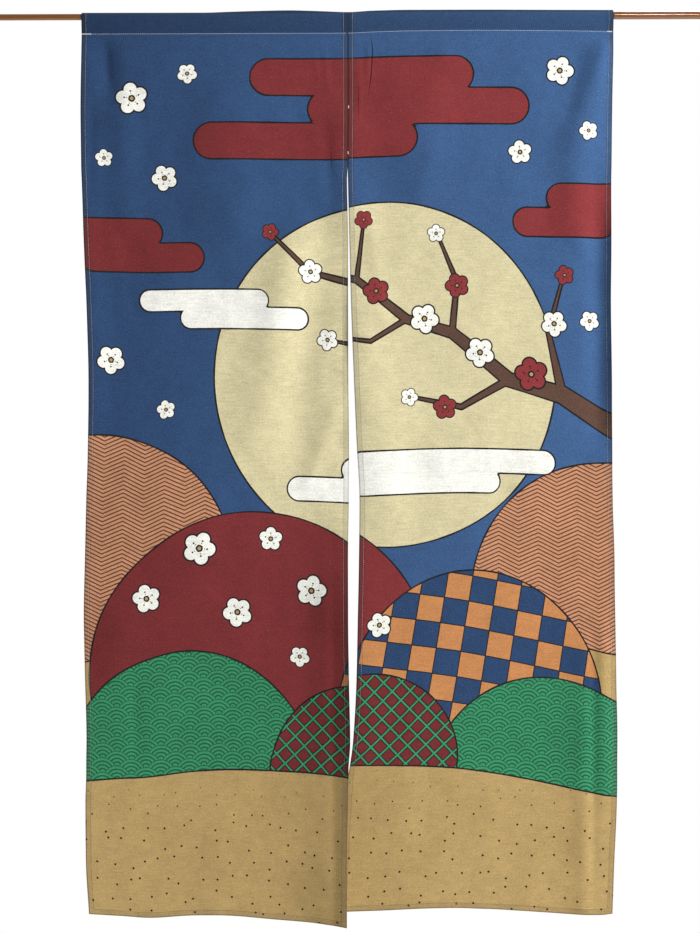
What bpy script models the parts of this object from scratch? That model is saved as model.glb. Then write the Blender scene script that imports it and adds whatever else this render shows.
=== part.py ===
"""A noren of two cloth panels, hanging in its folds on a plain round rod.

Metres, +Z up. The origin is the middle of the rod's axis, X runs along the rod, and the
printed face looks along -Y. Each panel is one sheet: its side and bottom hems are turned to
the back, and its top is folded over the rod and sewn down behind, which makes the rod pocket.
The two panels are sewn edge to edge down to the head of the slit and hang apart below it.
"""

from collections import namedtuple

import bpy
import numpy as np

MM = 0.001

# Rod
ROD_LENGTH = 1200 * MM
ROD_RADIUS = 5 * MM
ROD_SIDES = 32

# Cloth
CLOTH = 1.2 * MM
HEM_EXTRA = 0.8 * MM
SIDE_HEM = 7.5 * MM
BOTTOM_HEM = 8 * MM
HEM_STEP = 1 * MM

# Rod pocket: its radius is outside the cloth, and leaves the rod a little clearance
POCKET_RADIUS = 6.7 * MM
POCKET_ANGLES = np.radians((0, 30, 60, 90, 120, 150, 180))
FLANK_PARTS = np.array((0, 0.3, 0.65))
SEWN_EDGE = 3.5 * MM
STITCH_LIFT = 0.8 * MM

# Rows and columns of each panel, and how closely its columns crowd towards the hems
COLUMNS = 20
ROWS = 30
EDGE_CROWDING = 0.05

# Outline of both panels at each drop below the rod's axis, in mm across from the middle.
# The lips are the panels' edges at the slit: sewn together above, and crossed near the foot.
Section = namedtuple("Section", "drop left_edge left_lip right_lip right_edge")
OUTLINE = (
    Section(30, -435.5, -0.15, 0.15, 431),
    Section(137, -437.5, -0.15, 0.15, 429),
    Section(243, -436.5, -0.15, 0.15, 428),
    Section(268, -436, -0.8, 0.4, 427.5),
    Section(365, -433.5, -0.8, 1.2, 426.5),
    Section(463, -429.5, -0.6, 3, 425),
    Section(593, -426, -1.4, 8, 426),
    Section(691, -427, -1.8, 12, 426.5),
    Section(789, -430, -1.6, 15, 427.5),
    Section(886, -432.5, -2.6, 15.4, 430),
    Section(984, -435.5, -3.8, 13.8, 431),
    Section(1082, -434, -2.2, 10.4, 432.5),
    Section(1180, -432, -0.8, 4, 434),
    Section(1278, -433.5, -4.2, -5, 433),
    Section(1375, -433, -5.8, -6.5, 428.5),
    Section(1465, -428, -6, -6.5, 425),
)

# Foot of each panel: the drop of its bottom edge at each place across, in mm
Foot = namedtuple("Foot", "across drop")
LEFT_FOOT = (
    Foot(-427, 1463),
    Foot(-376, 1466.5),
    Foot(-327, 1470),
    Foot(-259, 1466.5),
    Foot(-220, 1466),
    Foot(-181, 1467.5),
    Foot(-122, 1472),
    Foot(-63, 1475.5),
    Foot(-5, 1481),
)
RIGHT_FOOT = (
    Foot(-6, 1460),
    Foot(54, 1457.5),
    Foot(112, 1454.5),
    Foot(161, 1453.5),
    Foot(210, 1455),
    Foot(288, 1459.5),
    Foot(367, 1464.5),
    Foot(406, 1465.5),
    Foot(425, 1463.5),
)

# Rod pocket at each place across, in mm: its crest above the axis, and its stitching below.
# Where the crest is high the pressed fold stands up in a point, and its flanks lie on the rod.
Pocket = namedtuple("Pocket", "across crest stitching")
POCKET = (
    Pocket(-436, 7.1, 28.5),
    Pocket(-235, 6.9, 28.5),
    Pocket(-196, 8.1, 28.3),
    Pocket(-157, 9.3, 28.1),
    Pocket(-98, 10.4, 28),
    Pocket(-60, 9.4, 28),
    Pocket(0, 7.2, 28),
    Pocket(38, 9.4, 26.5),
    Pocket(97, 10.7, 25),
    Pocket(214, 10.7, 24.4),
    Pocket(312, 10.1, 25),
    Pocket(431, 9.4, 26.4),
)

# Folds, in mm: a soft ridge, or a trough where forward is negative, along a line from its head
# to its foot. It falls off across the line over half_width, and fades out at the line's ends.
Fold = namedtuple("Fold", "panel head_across head_drop foot_across foot_drop half_width forward")
LEFT, RIGHT, BOTH = "left", "right", "both"
FOLDS = (
    Fold(LEFT, -405, 0, -386, 170, 20, -5),
    Fold(LEFT, -370, 90, -365, 380, 28, 5),
    Fold(LEFT, -196, 30, -190, 420, 62, 8),
    Fold(LEFT, -72, 270, -170, 760, 36, 6.5),
    Fold(LEFT, -23, 250, -104, 800, 30, -5.5),
    Fold(LEFT, -2, 700, -2, 1760, 64, 17),
    Fold(LEFT, -4, 760, -4, 1060, 50, 6),
    Fold(LEFT, -4, 1340, -4, 1640, 60, 6),
    Fold(LEFT, -300, 480, -280, 1700, 120, 8),
    Fold(LEFT, -436, 900, -436, 1300, 40, -6),
    Fold(BOTH, -3, 120, -3, 380, 40, 7),
    Fold(BOTH, 112, 60, 122, 330, 62, 7),
    Fold(RIGHT, 425, 0, 362, 250, 26, 8),
    Fold(RIGHT, 364, 150, 372, 430, 30, 6),
    Fold(RIGHT, 405, 220, 405, 740, 18, -4.5),
    Fold(RIGHT, 430, 240, 430, 760, 18, 5),
    Fold(RIGHT, -4, 360, 76, 920, 42, 6.5),
    Fold(RIGHT, 0, 1160, 0, 1700, 60, -5),
    Fold(RIGHT, 378, 940, 380, 1720, 14, 5),
    Fold(RIGHT, 412, 940, 414, 1340, 14, 5),
    Fold(RIGHT, 230, 560, 220, 1700, 120, 7),
)
FOLD_FADE = 0.3
FOLD_START = 34 * MM

# Panels, and the columns of the outline that are their edges
Panel = namedtuple("Panel", "name side left right foot")
PANELS = (
    Panel("panel_left", LEFT, "left_edge", "left_lip", LEFT_FOOT),
    Panel("panel_right", RIGHT, "right_lip", "right_edge", RIGHT_FOOT),
)

# Finishes: colour, roughness and metallic value
Finish = namedtuple("Finish", "name colour roughness metallic")
PRINTED_CLOTH = Finish("printed cloth", (0.42, 0.38, 0.33, 1), 0.9, 0)
ROD_ENAMEL = Finish("brown enamelled steel", (0.24, 0.12, 0.07, 1), 0.3, 0)


def clear_scene():
    """Start from an empty scene."""
    for thing in list(bpy.data.objects):
        bpy.data.objects.remove(thing)


def finish_material(finish):
    """A material with a finish's colour and gloss."""
    material = bpy.data.materials.new(finish.name)
    material.use_nodes = True
    shader = material.node_tree.nodes["Principled BSDF"]
    shader.inputs["Base Color"].default_value = finish.colour
    shader.inputs["Roughness"].default_value = finish.roughness
    shader.inputs["Metallic"].default_value = finish.metallic
    return material


def table(rows):
    """A table's columns by name, in metres."""
    return type(rows[0])(*(np.array(column) * MM for column in zip(*rows)))


def follow(places, values, at):
    """A smooth curve through a table's rows that never swings past them.

    The slope at a row is the harmonic mean of the slopes on its two sides, or level where
    they differ in sign.
    """
    rises = np.diff(values) / np.diff(places)
    before, after = rises[:-1], rises[1:]
    even = before * after > 0
    middle = np.where(even, 2 * before * after / np.where(even, before + after, 1), 0)
    slopes = np.concatenate([rises[:1], middle, rises[-1:]])
    row = np.clip(np.searchsorted(places, at) - 1, 0, len(places) - 2)
    span = places[row + 1] - places[row]
    part = np.clip((at - places[row]) / span, 0, 1)
    rest = 1 - part
    level = values[row] * rest**2 * (1 + 2 * part) + values[row + 1] * part**2 * (1 + 2 * rest)
    return level + span * part * rest * (slopes[row] * rest - slopes[row + 1] * part)


def ease(part):
    """From 0 to 1, level at both ends."""
    part = np.clip(part, 0, 1)
    return part * part * (3 - 2 * part)


def forward(side, across, drop):
    """How far the folds bring a panel's face towards the viewer at each place."""
    total = np.zeros_like(drop)
    for fold in FOLDS:
        if fold.panel not in (side, BOTH):
            continue
        head = np.array((fold.head_across, fold.head_drop)) * MM
        run = np.array((fold.foot_across, fold.foot_drop)) * MM - head
        length = np.hypot(*run)
        along = ((across - head[0]) * run[0] + (drop - head[1]) * run[1]) / length**2
        aside = ((across - head[0]) * run[1] - (drop - head[1]) * run[0]) / length
        fade = ease(along / FOLD_FADE) * ease((1 - along) / FOLD_FADE)
        total += fold.forward * MM * fade * np.exp(-((aside / (fold.half_width * MM)) ** 2))
    return total


def column_places():
    """Each column's share of the way across, and its offset for the width of the hems."""
    part = np.linspace(0, 1, COLUMNS + 1)
    part = part - EDGE_CROWDING * np.sin(2 * np.pi * part)
    share = np.concatenate([(0, 0), part, (1, 1)])
    turned = SIDE_HEM - HEM_STEP
    offset = np.concatenate([(0, turned), SIDE_HEM * (1 - 2 * part), (-turned, 0)])
    return share, offset


def row_drops(foot, stitching):
    """Drops of each column's rows, from the bottom hem up to the pocket's stitching."""
    hem, sewn = foot - BOTTOM_HEM, stitching + SEWN_EDGE
    body = np.linspace(hem, sewn, ROWS + 1, axis=1)
    return np.column_stack([foot, hem + HEM_STEP, body, stitching])


def hem_thickness(columns, rows):
    """The extra cloth behind the face at each place: turned in at the sides and the foot."""
    extra = np.zeros((columns, rows))
    extra[:2] = extra[-2:] = HEM_EXTRA
    extra[:, :2] = HEM_EXTRA
    extra[:, -2:] = 0
    return extra


def pocket_radius(angle, crest):
    """Distance from the axis to the pocket's outside, at an angle up from the front.

    It is a circle round the rod as far as the straight line that touches the circle and
    reaches the crest, then that line, and the same behind.
    """
    leaves = np.pi / 2 - np.arccos(np.clip(POCKET_RADIUS / crest, 0, 1))
    rise = np.pi / 2 - abs(angle - np.pi / 2)
    return POCKET_RADIUS / np.cos(np.maximum(rise - leaves, 0))


def pocket_section(crest, stitching, depth):
    """The pocket's section at one column, this far inside its outer face, as (y, z) points.

    From the stitching each flank swings out to the side of the rod in a quarter sine, and an
    arch goes over the rod. The points run up the front and down the back.
    """
    flank_y = CLOTH - depth + (POCKET_RADIUS - CLOTH) * np.sin(FLANK_PARTS * np.pi / 2)
    flank_z = -stitching * (1 - FLANK_PARTS)
    radius = pocket_radius(POCKET_ANGLES, crest) * (1 - depth / POCKET_RADIUS)
    front = np.column_stack([-flank_y, flank_z])
    arch = np.column_stack([-np.cos(POCKET_ANGLES), np.sin(POCKET_ANGLES)]) * radius[:, None]
    back = np.column_stack([flank_y, flank_z])[::-1]
    return np.vstack([front, arch, back])


def panel_sections(panel):
    """Each column's closed section: its skin, and the inside of its pocket.

    A skin runs up the face from the foot, round the pocket and down the back.
    """
    outline, foot, pocket = table(OUTLINE), table(panel.foot), table(POCKET)
    left, right = getattr(outline, panel.left), getattr(outline, panel.right)
    share, offset = column_places()
    head_across = left[0] * (1 - share) + right[0] * share + offset
    foot_across = left[-1] * (1 - share) + right[-1] * share + offset
    crest = follow(pocket.across, pocket.crest, head_across)
    stitching = follow(pocket.across, pocket.stitching, head_across)
    drops = row_drops(follow(foot.across, foot.drop, foot_across), stitching)
    across = follow(outline.drop, left, drops) * (1 - share)[:, None]
    across += follow(outline.drop, right, drops) * share[:, None] + offset[:, None]
    start = ease((drops - stitching[:, None]) / FOLD_START)
    face = -CLOTH - forward(panel.side, across, drops) * start
    back = face + CLOTH + hem_thickness(*drops.shape)
    skins, pockets = [], []
    for column in range(len(share)):
        outside = pocket_section(crest[column], stitching[column], 0)
        inside = pocket_section(crest[column], stitching[column], CLOTH)[:-1]
        inside[0, 1] += STITCH_LIFT
        up = np.column_stack([across[column], face[column], -drops[column]])[:-1]
        down = np.column_stack([across[column], back[column], -drops[column]])[-2::-1]
        top = across[column, -1]
        skins.append(np.vstack([up, np.insert(outside, 0, top, axis=1), down]))
        pockets.append(np.insert(inside, 0, top, axis=1))
    return np.array(skins), np.array(pockets)


def bridge(loops, flip):
    """Faces between closed loops of point numbers, each loop joined to the next."""
    here, there = loops[:-1], loops[1:]
    corners = [here, there, np.roll(there, -1, axis=1), np.roll(here, -1, axis=1)]
    faces = np.stack(corners[::-1] if flip else corners, axis=-1)
    return faces.reshape(-1, 4).tolist()


def cap(skin, pocket, flip):
    """Faces that close the cloth at a side: its layers below the stitching, and the pocket's."""
    rows = (len(skin) - len(pocket) - 1) // 2
    down = skin[::-1]
    faces = [[skin[i], skin[i + 1], down[i + 1], down[i]] for i in range(rows - 1)]
    faces.append([skin[rows - 1], skin[rows], pocket[0], down[rows], down[rows - 1]])
    ring = [*pocket, pocket[0]]
    for i in range(len(pocket)):
        faces.append([skin[rows + i], skin[rows + i + 1], ring[i + 1], ring[i]])
    return [face[::-1] for face in faces] if flip else faces


def make_panel(panel, material):
    """One cloth panel with its hems and rod pocket."""
    skins, pockets = panel_sections(panel)
    skin_loops = np.arange(skins[..., 0].size).reshape(skins.shape[:2])
    pocket_loops = np.arange(pockets[..., 0].size).reshape(pockets.shape[:2]) + skin_loops.size
    points = np.vstack([skins.reshape(-1, 3), pockets.reshape(-1, 3)])
    faces = bridge(skin_loops, False) + bridge(pocket_loops, True)
    faces += cap(skin_loops[0].tolist(), pocket_loops[0].tolist(), False)
    faces += cap(skin_loops[-1].tolist(), pocket_loops[-1].tolist(), True)
    mesh = bpy.data.meshes.new(panel.name)
    mesh.from_pydata(points.tolist(), [], faces)
    mesh.materials.append(material)
    mesh.shade_smooth()
    mesh.set_sharp_from_angle(angle=np.radians(35))
    thing = bpy.data.objects.new(panel.name, mesh)
    bpy.context.collection.objects.link(thing)


def make_rod(material):
    """The round rod, lying along X, with flat ends."""
    bpy.ops.mesh.primitive_cylinder_add(
        vertices=ROD_SIDES, radius=ROD_RADIUS, depth=ROD_LENGTH, rotation=(0, np.pi / 2, 0)
    )
    rod = bpy.context.object
    rod.name = rod.data.name = "rod"
    rod.data.materials.append(material)
    rod.data.shade_smooth()
    rod.data.set_sharp_from_angle(angle=np.radians(35))


def main():
    """Build the curtain on its rod."""
    clear_scene()
    make_rod(finish_material(ROD_ENAMEL))
    cloth = finish_material(PRINTED_CLOTH)
    for panel in PANELS:
        make_panel(panel, cloth)


main()
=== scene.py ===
"""Looks of a noren on its rod: printed slub cotton in its folds, its sewing and its brown rod.

Lengths are metres and +Z is up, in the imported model's own frame. The printed face looks
along -Y and X runs along the rod. Tables of the cloth's shape are in millimetres.
"""

import logging
import math
from dataclasses import dataclass
from enum import Enum
from typing import Any, NamedTuple

import bpy
import numpy as np
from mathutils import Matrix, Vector


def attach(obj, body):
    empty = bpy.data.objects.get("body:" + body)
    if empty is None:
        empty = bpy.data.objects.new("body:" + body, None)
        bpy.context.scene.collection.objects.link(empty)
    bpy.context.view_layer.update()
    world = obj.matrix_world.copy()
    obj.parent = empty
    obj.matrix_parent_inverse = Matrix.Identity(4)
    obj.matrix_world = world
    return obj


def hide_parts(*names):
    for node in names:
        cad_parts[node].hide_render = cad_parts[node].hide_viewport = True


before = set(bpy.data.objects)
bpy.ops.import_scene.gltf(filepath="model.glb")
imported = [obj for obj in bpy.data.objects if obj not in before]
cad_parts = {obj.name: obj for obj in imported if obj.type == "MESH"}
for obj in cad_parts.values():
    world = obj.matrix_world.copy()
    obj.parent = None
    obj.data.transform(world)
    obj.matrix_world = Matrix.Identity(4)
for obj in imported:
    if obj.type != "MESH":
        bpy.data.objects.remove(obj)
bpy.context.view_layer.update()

LOG = logging.getLogger("noren")
Socket = bpy.types.NodeSocket
MM = 0.001
BODY = "root"
CLOTH_MAP = "cloth"
MATH = "ShaderNodeMath"
VECTOR = "ShaderNodeVectorMath"
MIX = "ShaderNodeMix"
COLOUR = {"data_type": "RGBA", "out": 2}
# A Mix node's two colours and its two numbers, by their inputs' places
UNDER, OVER = 6, 7
FIRST, SECOND = 2, 3
RANGE = "ShaderNodeMapRange"
SPLIT = "ShaderNodeSeparateXYZ"
JOIN = "ShaderNodeCombineXYZ"
ATTRIBUTE = "ShaderNodeAttribute"
NOISE = "ShaderNodeTexNoise"
CELLS = "ShaderNodeTexVoronoi"


class Side(Enum):
    """Which panel a thing belongs to, as the viewer sees it."""

    LEFT = "left"
    RIGHT = "right"
    BOTH = "both"


class Face(Enum):
    """The two faces of printed cloth."""

    PRINTED = "printed face"
    REVERSE = "reverse face"


LEFT, RIGHT, BOTH = Side


# Tables and curves


class Section(NamedTuple):
    """Places across of both panels' edges at one drop below the rod's axis."""

    drop: float
    left_edge: float
    left_lip: float
    right_lip: float
    right_edge: float


class Foot(NamedTuple):
    """Drop of a panel's bottom edge at one place across."""

    across: float
    drop: float


class Pocket(NamedTuple):
    """The rod pocket at one place across: its crest above the axis, its stitching below."""

    across: float
    crest: float
    stitching: float


class Fold(NamedTuple):
    """A soft ridge, or a trough where forward is negative, from its head to its foot."""

    side: Side
    head_across: float
    head_drop: float
    foot_across: float
    foot_drop: float
    half_width: float
    forward: float


OUTLINE = (
    Section(30, -435.5, -1.75, -1.45, 430.5),
    Section(137, -437.5, -1.75, -1.45, 428.5),
    Section(243, -436, -2.9, -2.5, 427),
    Section(268, -435, -4.25, -2.15, 426.5),
    Section(365, -432, -2.7, -0.1, 426),
    Section(463, -428, -3.1, 2.1, 425),
    Section(593, -424.8, -2.9, 6.7, 426),
    Section(691, -426.2, -2.1, 10.6, 426.5),
    Section(789, -430, -2.7, 15.2, 427.5),
    Section(886, -432.5, -4.3, 14, 430),
    Section(984, -435.5, -4.3, 11.8, 431),
    Section(1082, -434, -3.2, 9.4, 432.5),
    Section(1180, -432, -1.5, 3.7, 434),
    Section(1225, -432.5, -4.4, -2.2, 433.5),
    Section(1240, -432.5, -4.7, -5, 433.5),
    Section(1278, -433.5, -5.2, -7.5, 433),
    Section(1375, -433, -7.2, -13.5, 428.5),
    Section(1465, -428, -7.6, -17, 425),
)
LEFT_FOOT = (
    Foot(-427, 1463),
    Foot(-376, 1466.5),
    Foot(-327, 1470),
    Foot(-259, 1466.5),
    Foot(-220, 1466),
    Foot(-181, 1467.5),
    Foot(-122, 1472),
    Foot(-63, 1475.5),
    Foot(-5, 1481),
)
RIGHT_FOOT = (
    Foot(-6, 1460),
    Foot(54, 1457.5),
    Foot(112, 1454.5),
    Foot(161, 1453.5),
    Foot(210, 1455),
    Foot(288, 1459.5),
    Foot(367, 1464.5),
    Foot(406, 1465.5),
    Foot(425, 1463.5),
)
POCKET = (
    Pocket(-436, 7.1, 26.6),
    Pocket(-235, 6.9, 26.6),
    Pocket(-196, 8.1, 26.5),
    Pocket(-157, 9.3, 26.4),
    Pocket(-98, 10.4, 26.4),
    Pocket(-60, 9.4, 26.4),
    Pocket(0, 7.2, 26.3),
    Pocket(38, 9.4, 24.6),
    Pocket(97, 10.7, 23),
    Pocket(214, 10.7, 22.3),
    Pocket(312, 10.1, 23),
    Pocket(431, 9.4, 24.9),
)
# The solids' folds, from head to foot
FOLDS = (
    Fold(LEFT, -405, 0, -386, 170, 20, -5),
    Fold(LEFT, -370, 90, -365, 380, 28, 5),
    Fold(LEFT, -196, 30, -190, 420, 62, 8),
    Fold(LEFT, -72, 270, -170, 760, 36, 6.5),
    Fold(LEFT, -23, 250, -104, 800, 30, -5.5),
    Fold(LEFT, -2, 700, -2, 1760, 64, 17),
    Fold(LEFT, -4, 760, -4, 1060, 50, 6),
    Fold(LEFT, -4, 1340, -4, 1640, 60, 6),
    Fold(LEFT, -300, 480, -280, 1700, 120, 8),
    Fold(LEFT, -436, 900, -436, 1300, 40, -6),
    Fold(BOTH, -3, 120, -3, 380, 40, 7),
    Fold(BOTH, 112, 60, 122, 330, 62, 7),
    Fold(RIGHT, 425, 0, 362, 250, 26, 8),
    Fold(RIGHT, 364, 150, 372, 430, 30, 6),
    Fold(RIGHT, 405, 220, 405, 740, 18, -4.5),
    Fold(RIGHT, 430, 240, 430, 760, 18, 5),
    Fold(RIGHT, -4, 360, 76, 920, 42, 6.5),
    Fold(RIGHT, 0, 1160, 0, 1700, 60, -5),
    Fold(RIGHT, 378, 940, 380, 1720, 14, 2),
    Fold(RIGHT, 412, 940, 414, 1340, 14, 4),
    Fold(RIGHT, 230, 560, 220, 1700, 120, 7),
)
# Small creases that only the fine surface shows
CREASES = (
    Fold(LEFT, -42, 36, -34, 130, 5, 1.2),
    Fold(LEFT, -56, 40, -49, 120, 6, 0.8),
    Fold(BOTH, 33, 26, 29, 112, 4.5, 1.6),
    Fold(BOTH, 17, 30, 15, 190, 5, 0.9),
    Fold(LEFT, -30, 760, -26, 1700, 7, -1),
    Fold(LEFT, -14, 1240, -12, 1700, 6, 0.9),
    Fold(LEFT, -354, 1060, -350, 1240, 12, -1.6),
    Fold(LEFT, -398, 300, -360, 520, 12, 1.2),
    Fold(LEFT, -8, 600, -82, 800, 14, 2.2),
    Fold(RIGHT, 396, 960, 394, 1480, 7, -1.6),
    Fold(RIGHT, 24, 280, 64, 560, 14, 1.6),
    Fold(RIGHT, 300, 60, 320, 260, 26, 1.4),
    Fold(LEFT, 18, 800, 18, 1760, 26, 19),
    Fold(LEFT, -290, 760, -290, 1960, 150, -18),
    Fold(RIGHT, 245, 700, 245, 1900, 125, -9),
    Fold(RIGHT, 384, 900, 384, 1800, 34, 3),
    Fold(RIGHT, 424, 20, 396, 130, 12, 1.6),
    Fold(LEFT, -399, 20, -391, 130, 7, -1.6),
    Fold(LEFT, -418, 110, -424, 330, 7, -1.3),
    Fold(LEFT, -438, 90, -436, 820, 42, 11),
    Fold(LEFT, -340, 60, -318, 200, 16, 1.4),
    Fold(RIGHT, 436, 250, 436, 740, 12, 4),
    Fold(RIGHT, 378, 60, 352, 190, 12, -1.1),
    Fold(RIGHT, 150, 200, 96, 330, 16, 1.6),
    Fold(LEFT, -42, 150, -26, 340, 12, -2),
)
FOLD_FADE = 0.3


def columns(rows: tuple) -> Any:
    """The columns of a table by name, in metres.

    Args:
        rows: rows of one kind, in millimetres.

    Returns:
        A row of the same kind that holds an array for each name.
    """
    return type(rows[0])(*(np.array(column) * MM for column in zip(*rows)))


def follow(places: np.ndarray, values: np.ndarray, at: np.ndarray) -> np.ndarray:
    """A smooth curve through a table's rows that never swings past them.

    It is a cubic Hermite curve. The slope at a row is the harmonic mean of the slopes on its
    two sides, or level where they differ in sign.

    Args:
        places: the rows' places, rising.
        values: the rows' values.
        at: where the curve is wanted.

    Returns:
        The curve's values there.
    """
    rises = np.diff(values) / np.diff(places)
    before, after = rises[:-1], rises[1:]
    even = before * after > 0
    middle = np.where(even, 2 * before * after / np.where(even, before + after, 1), 0)
    slopes = np.concatenate([rises[:1], middle, rises[-1:]])
    row = np.clip(np.searchsorted(places, at) - 1, 0, len(places) - 2)
    span = places[row + 1] - places[row]
    part = np.clip((at - places[row]) / span, 0, 1)
    rest = 1 - part
    level = values[row] * rest**2 * (1 + 2 * part) + values[row + 1] * part**2 * (1 + 2 * rest)
    return level + span * part * rest * (slopes[row] * rest - slopes[row + 1] * part)


def ease(part: np.ndarray) -> np.ndarray:
    """From 0 to 1, level at both ends: 3p² - 2p³."""
    part = np.clip(part, 0, 1)
    return part * part * (3 - 2 * part)


def folded(
    folds: tuple[Fold, ...], side: Side, across: np.ndarray, drop: np.ndarray
) -> np.ndarray:
    """How far folds bring a panel's face towards the viewer.

    Each fold is its height, times a bell over the distance from its line, times a fade at
    both ends of the line.

    Args:
        folds: rows of a table of folds.
        side: the panel.
        across: places across, in metres.
        drop: drops below the rod's axis, in metres.

    Returns:
        The sum of the folds at each place, in metres.
    """
    total = np.zeros(np.broadcast(across, drop).shape)
    for fold in folds:
        if fold.side not in (side, BOTH):
            continue
        head = np.array((fold.head_across, fold.head_drop)) * MM
        run = np.array((fold.foot_across, fold.foot_drop)) * MM - head
        length = np.hypot(*run)
        along = ((across - head[0]) * run[0] + (drop - head[1]) * run[1]) / length**2
        aside = ((across - head[0]) * run[1] - (drop - head[1]) * run[0]) / length
        fade = ease(along / FOLD_FADE) * ease((1 - along) / FOLD_FADE)
        total += fold.forward * MM * fade * np.exp(-((aside / (fold.half_width * MM)) ** 2))
    return total


# Meshes and materials


def sheet_faces(points: np.ndarray, closed: bool = False) -> np.ndarray:
    """Quads of a grid of point numbers.

    Args:
        points: point numbers, rows by columns.
        closed: whether the last column joins the first.

    Returns:
        One row of four point numbers for each quad, turning from the next row to this one.
    """
    if closed:
        points = np.concatenate([points, points[:, :1]], axis=1)
    corners = [points[:-1, :-1], points[:-1, 1:], points[1:, 1:], points[1:, :-1]]
    return np.stack(corners, axis=-1).reshape(-1, 4)


def carried_round(along: np.ndarray, reach: np.ndarray, sides: int) -> np.ndarray:
    """A profile carried round the X axis: its reach goes by the turn's cosine and sine.

    Args:
        along: places along X.
        reach: distances from the axis there.
        sides: how many times the profile is repeated in a full turn.

    Returns:
        Points, profile by sides by three.
    """
    turn = np.linspace(0, 2 * np.pi, sides, endpoint=False)
    middle = np.repeat(along[:, None], sides, axis=1)
    rings = [middle, reach[:, None] * np.cos(turn), reach[:, None] * np.sin(turn)]
    return np.stack(rings, axis=-1)


def nearest(values: np.ndarray, wanted: float) -> int:
    """Number of the value that is closest to the one wanted."""
    return int(np.argmin(np.abs(values - wanted)))


def new_piece(
    name: str, points: np.ndarray, faces: list[list[int]], materials: list[bpy.types.Material]
) -> bpy.types.Object:
    """A smooth-shaded mesh object at the origin that rides on the body.

    Args:
        name: the piece's name.
        points: its points.
        faces: its faces as point numbers.
        materials: its material slots.

    Returns:
        The object.
    """
    mesh = bpy.data.meshes.new(name)
    mesh.from_pydata(points.tolist(), [], faces)
    for material in materials:
        mesh.materials.append(material)
    mesh.shade_smooth()
    piece = bpy.data.objects.new(name, mesh)
    bpy.context.collection.objects.link(piece)
    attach(piece, BODY)
    return piece


def linear(colour: str) -> tuple[float, float, float, float]:
    """Turn an sRGB colour into linear light.

    Args:
        colour: a hash and six hex digits.

    Returns:
        Red, green, blue and an alpha of 1.
    """
    parts = [int(colour[i : i + 2], 16) / 255 for i in (1, 3, 5)]
    light = [p / 12.92 if p <= 0.04045 else ((p + 0.055) / 1.055) ** 2.4 for p in parts]
    return (*light, 1.0)


class Nodes:
    """The node tree of a material or a world, cleared, and the one way of adding to it."""

    def __init__(self, owner: bpy.types.Material | bpy.types.World) -> None:
        """Clear the owner's nodes.

        Args:
            owner: the material or world.
        """
        owner.use_nodes = True
        self.tree = owner.node_tree
        self.tree.nodes.clear()

    def add(
        self,
        kind: str,
        *values: Any,
        out: int | str = 0,
        named: dict[int | str, Any] | None = None,
        **settings: Any,
    ) -> Socket | None:
        """Add a node with its settings and links.

        Args:
            kind: the node's type.
            *values: a value or a linked output for each input in turn, or None to leave it.
            out: the output to hand back.
            named: values or linked outputs for inputs by name or number.
            **settings: the node's own properties.

        Returns:
            That output, or None where the node has no outputs.
        """
        node = self.tree.nodes.new(kind)
        for name, value in settings.items():
            setattr(node, name, value)
        for name, value in {**dict(enumerate(values)), **(named or {})}.items():
            if isinstance(value, Socket):
                self.tree.links.new(value, node.inputs[name])
            elif value is not None:
                node.inputs[name].default_value = value
        return node.outputs[out] if node.outputs else None


# The printed design


class Disc(NamedTuple):
    """A round shape, such as a moon or a hill, in millimetres."""

    across: float
    drop: float
    radius: float


class Band(NamedTuple):
    """A bar of mist with round ends, in millimetres."""

    start: float
    end: float
    drop: float
    radius: float


class Bend(NamedTuple):
    """An end or a bend of a branch or a wrinkle, and its radius there, in millimetres."""

    across: float
    drop: float
    radius: float


def lengths(lines: tuple[tuple[Bend, ...], ...]) -> list[tuple[Bend, Bend]]:
    """The straight lengths of branches or wrinkles, each by its two ends."""
    return [ends for line in lines for ends in zip(line, line[1:])]


class Bloom(Enum):
    """Colours of blossom, by their share of red ink."""

    WHITE = 0.0
    RED = 1.0


class Blossom(NamedTuple):
    """A five-petalled plum blossom, in millimetres and degrees."""

    across: float
    drop: float
    radius: float
    turn: float
    bloom: Bloom = Bloom.WHITE


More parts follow.
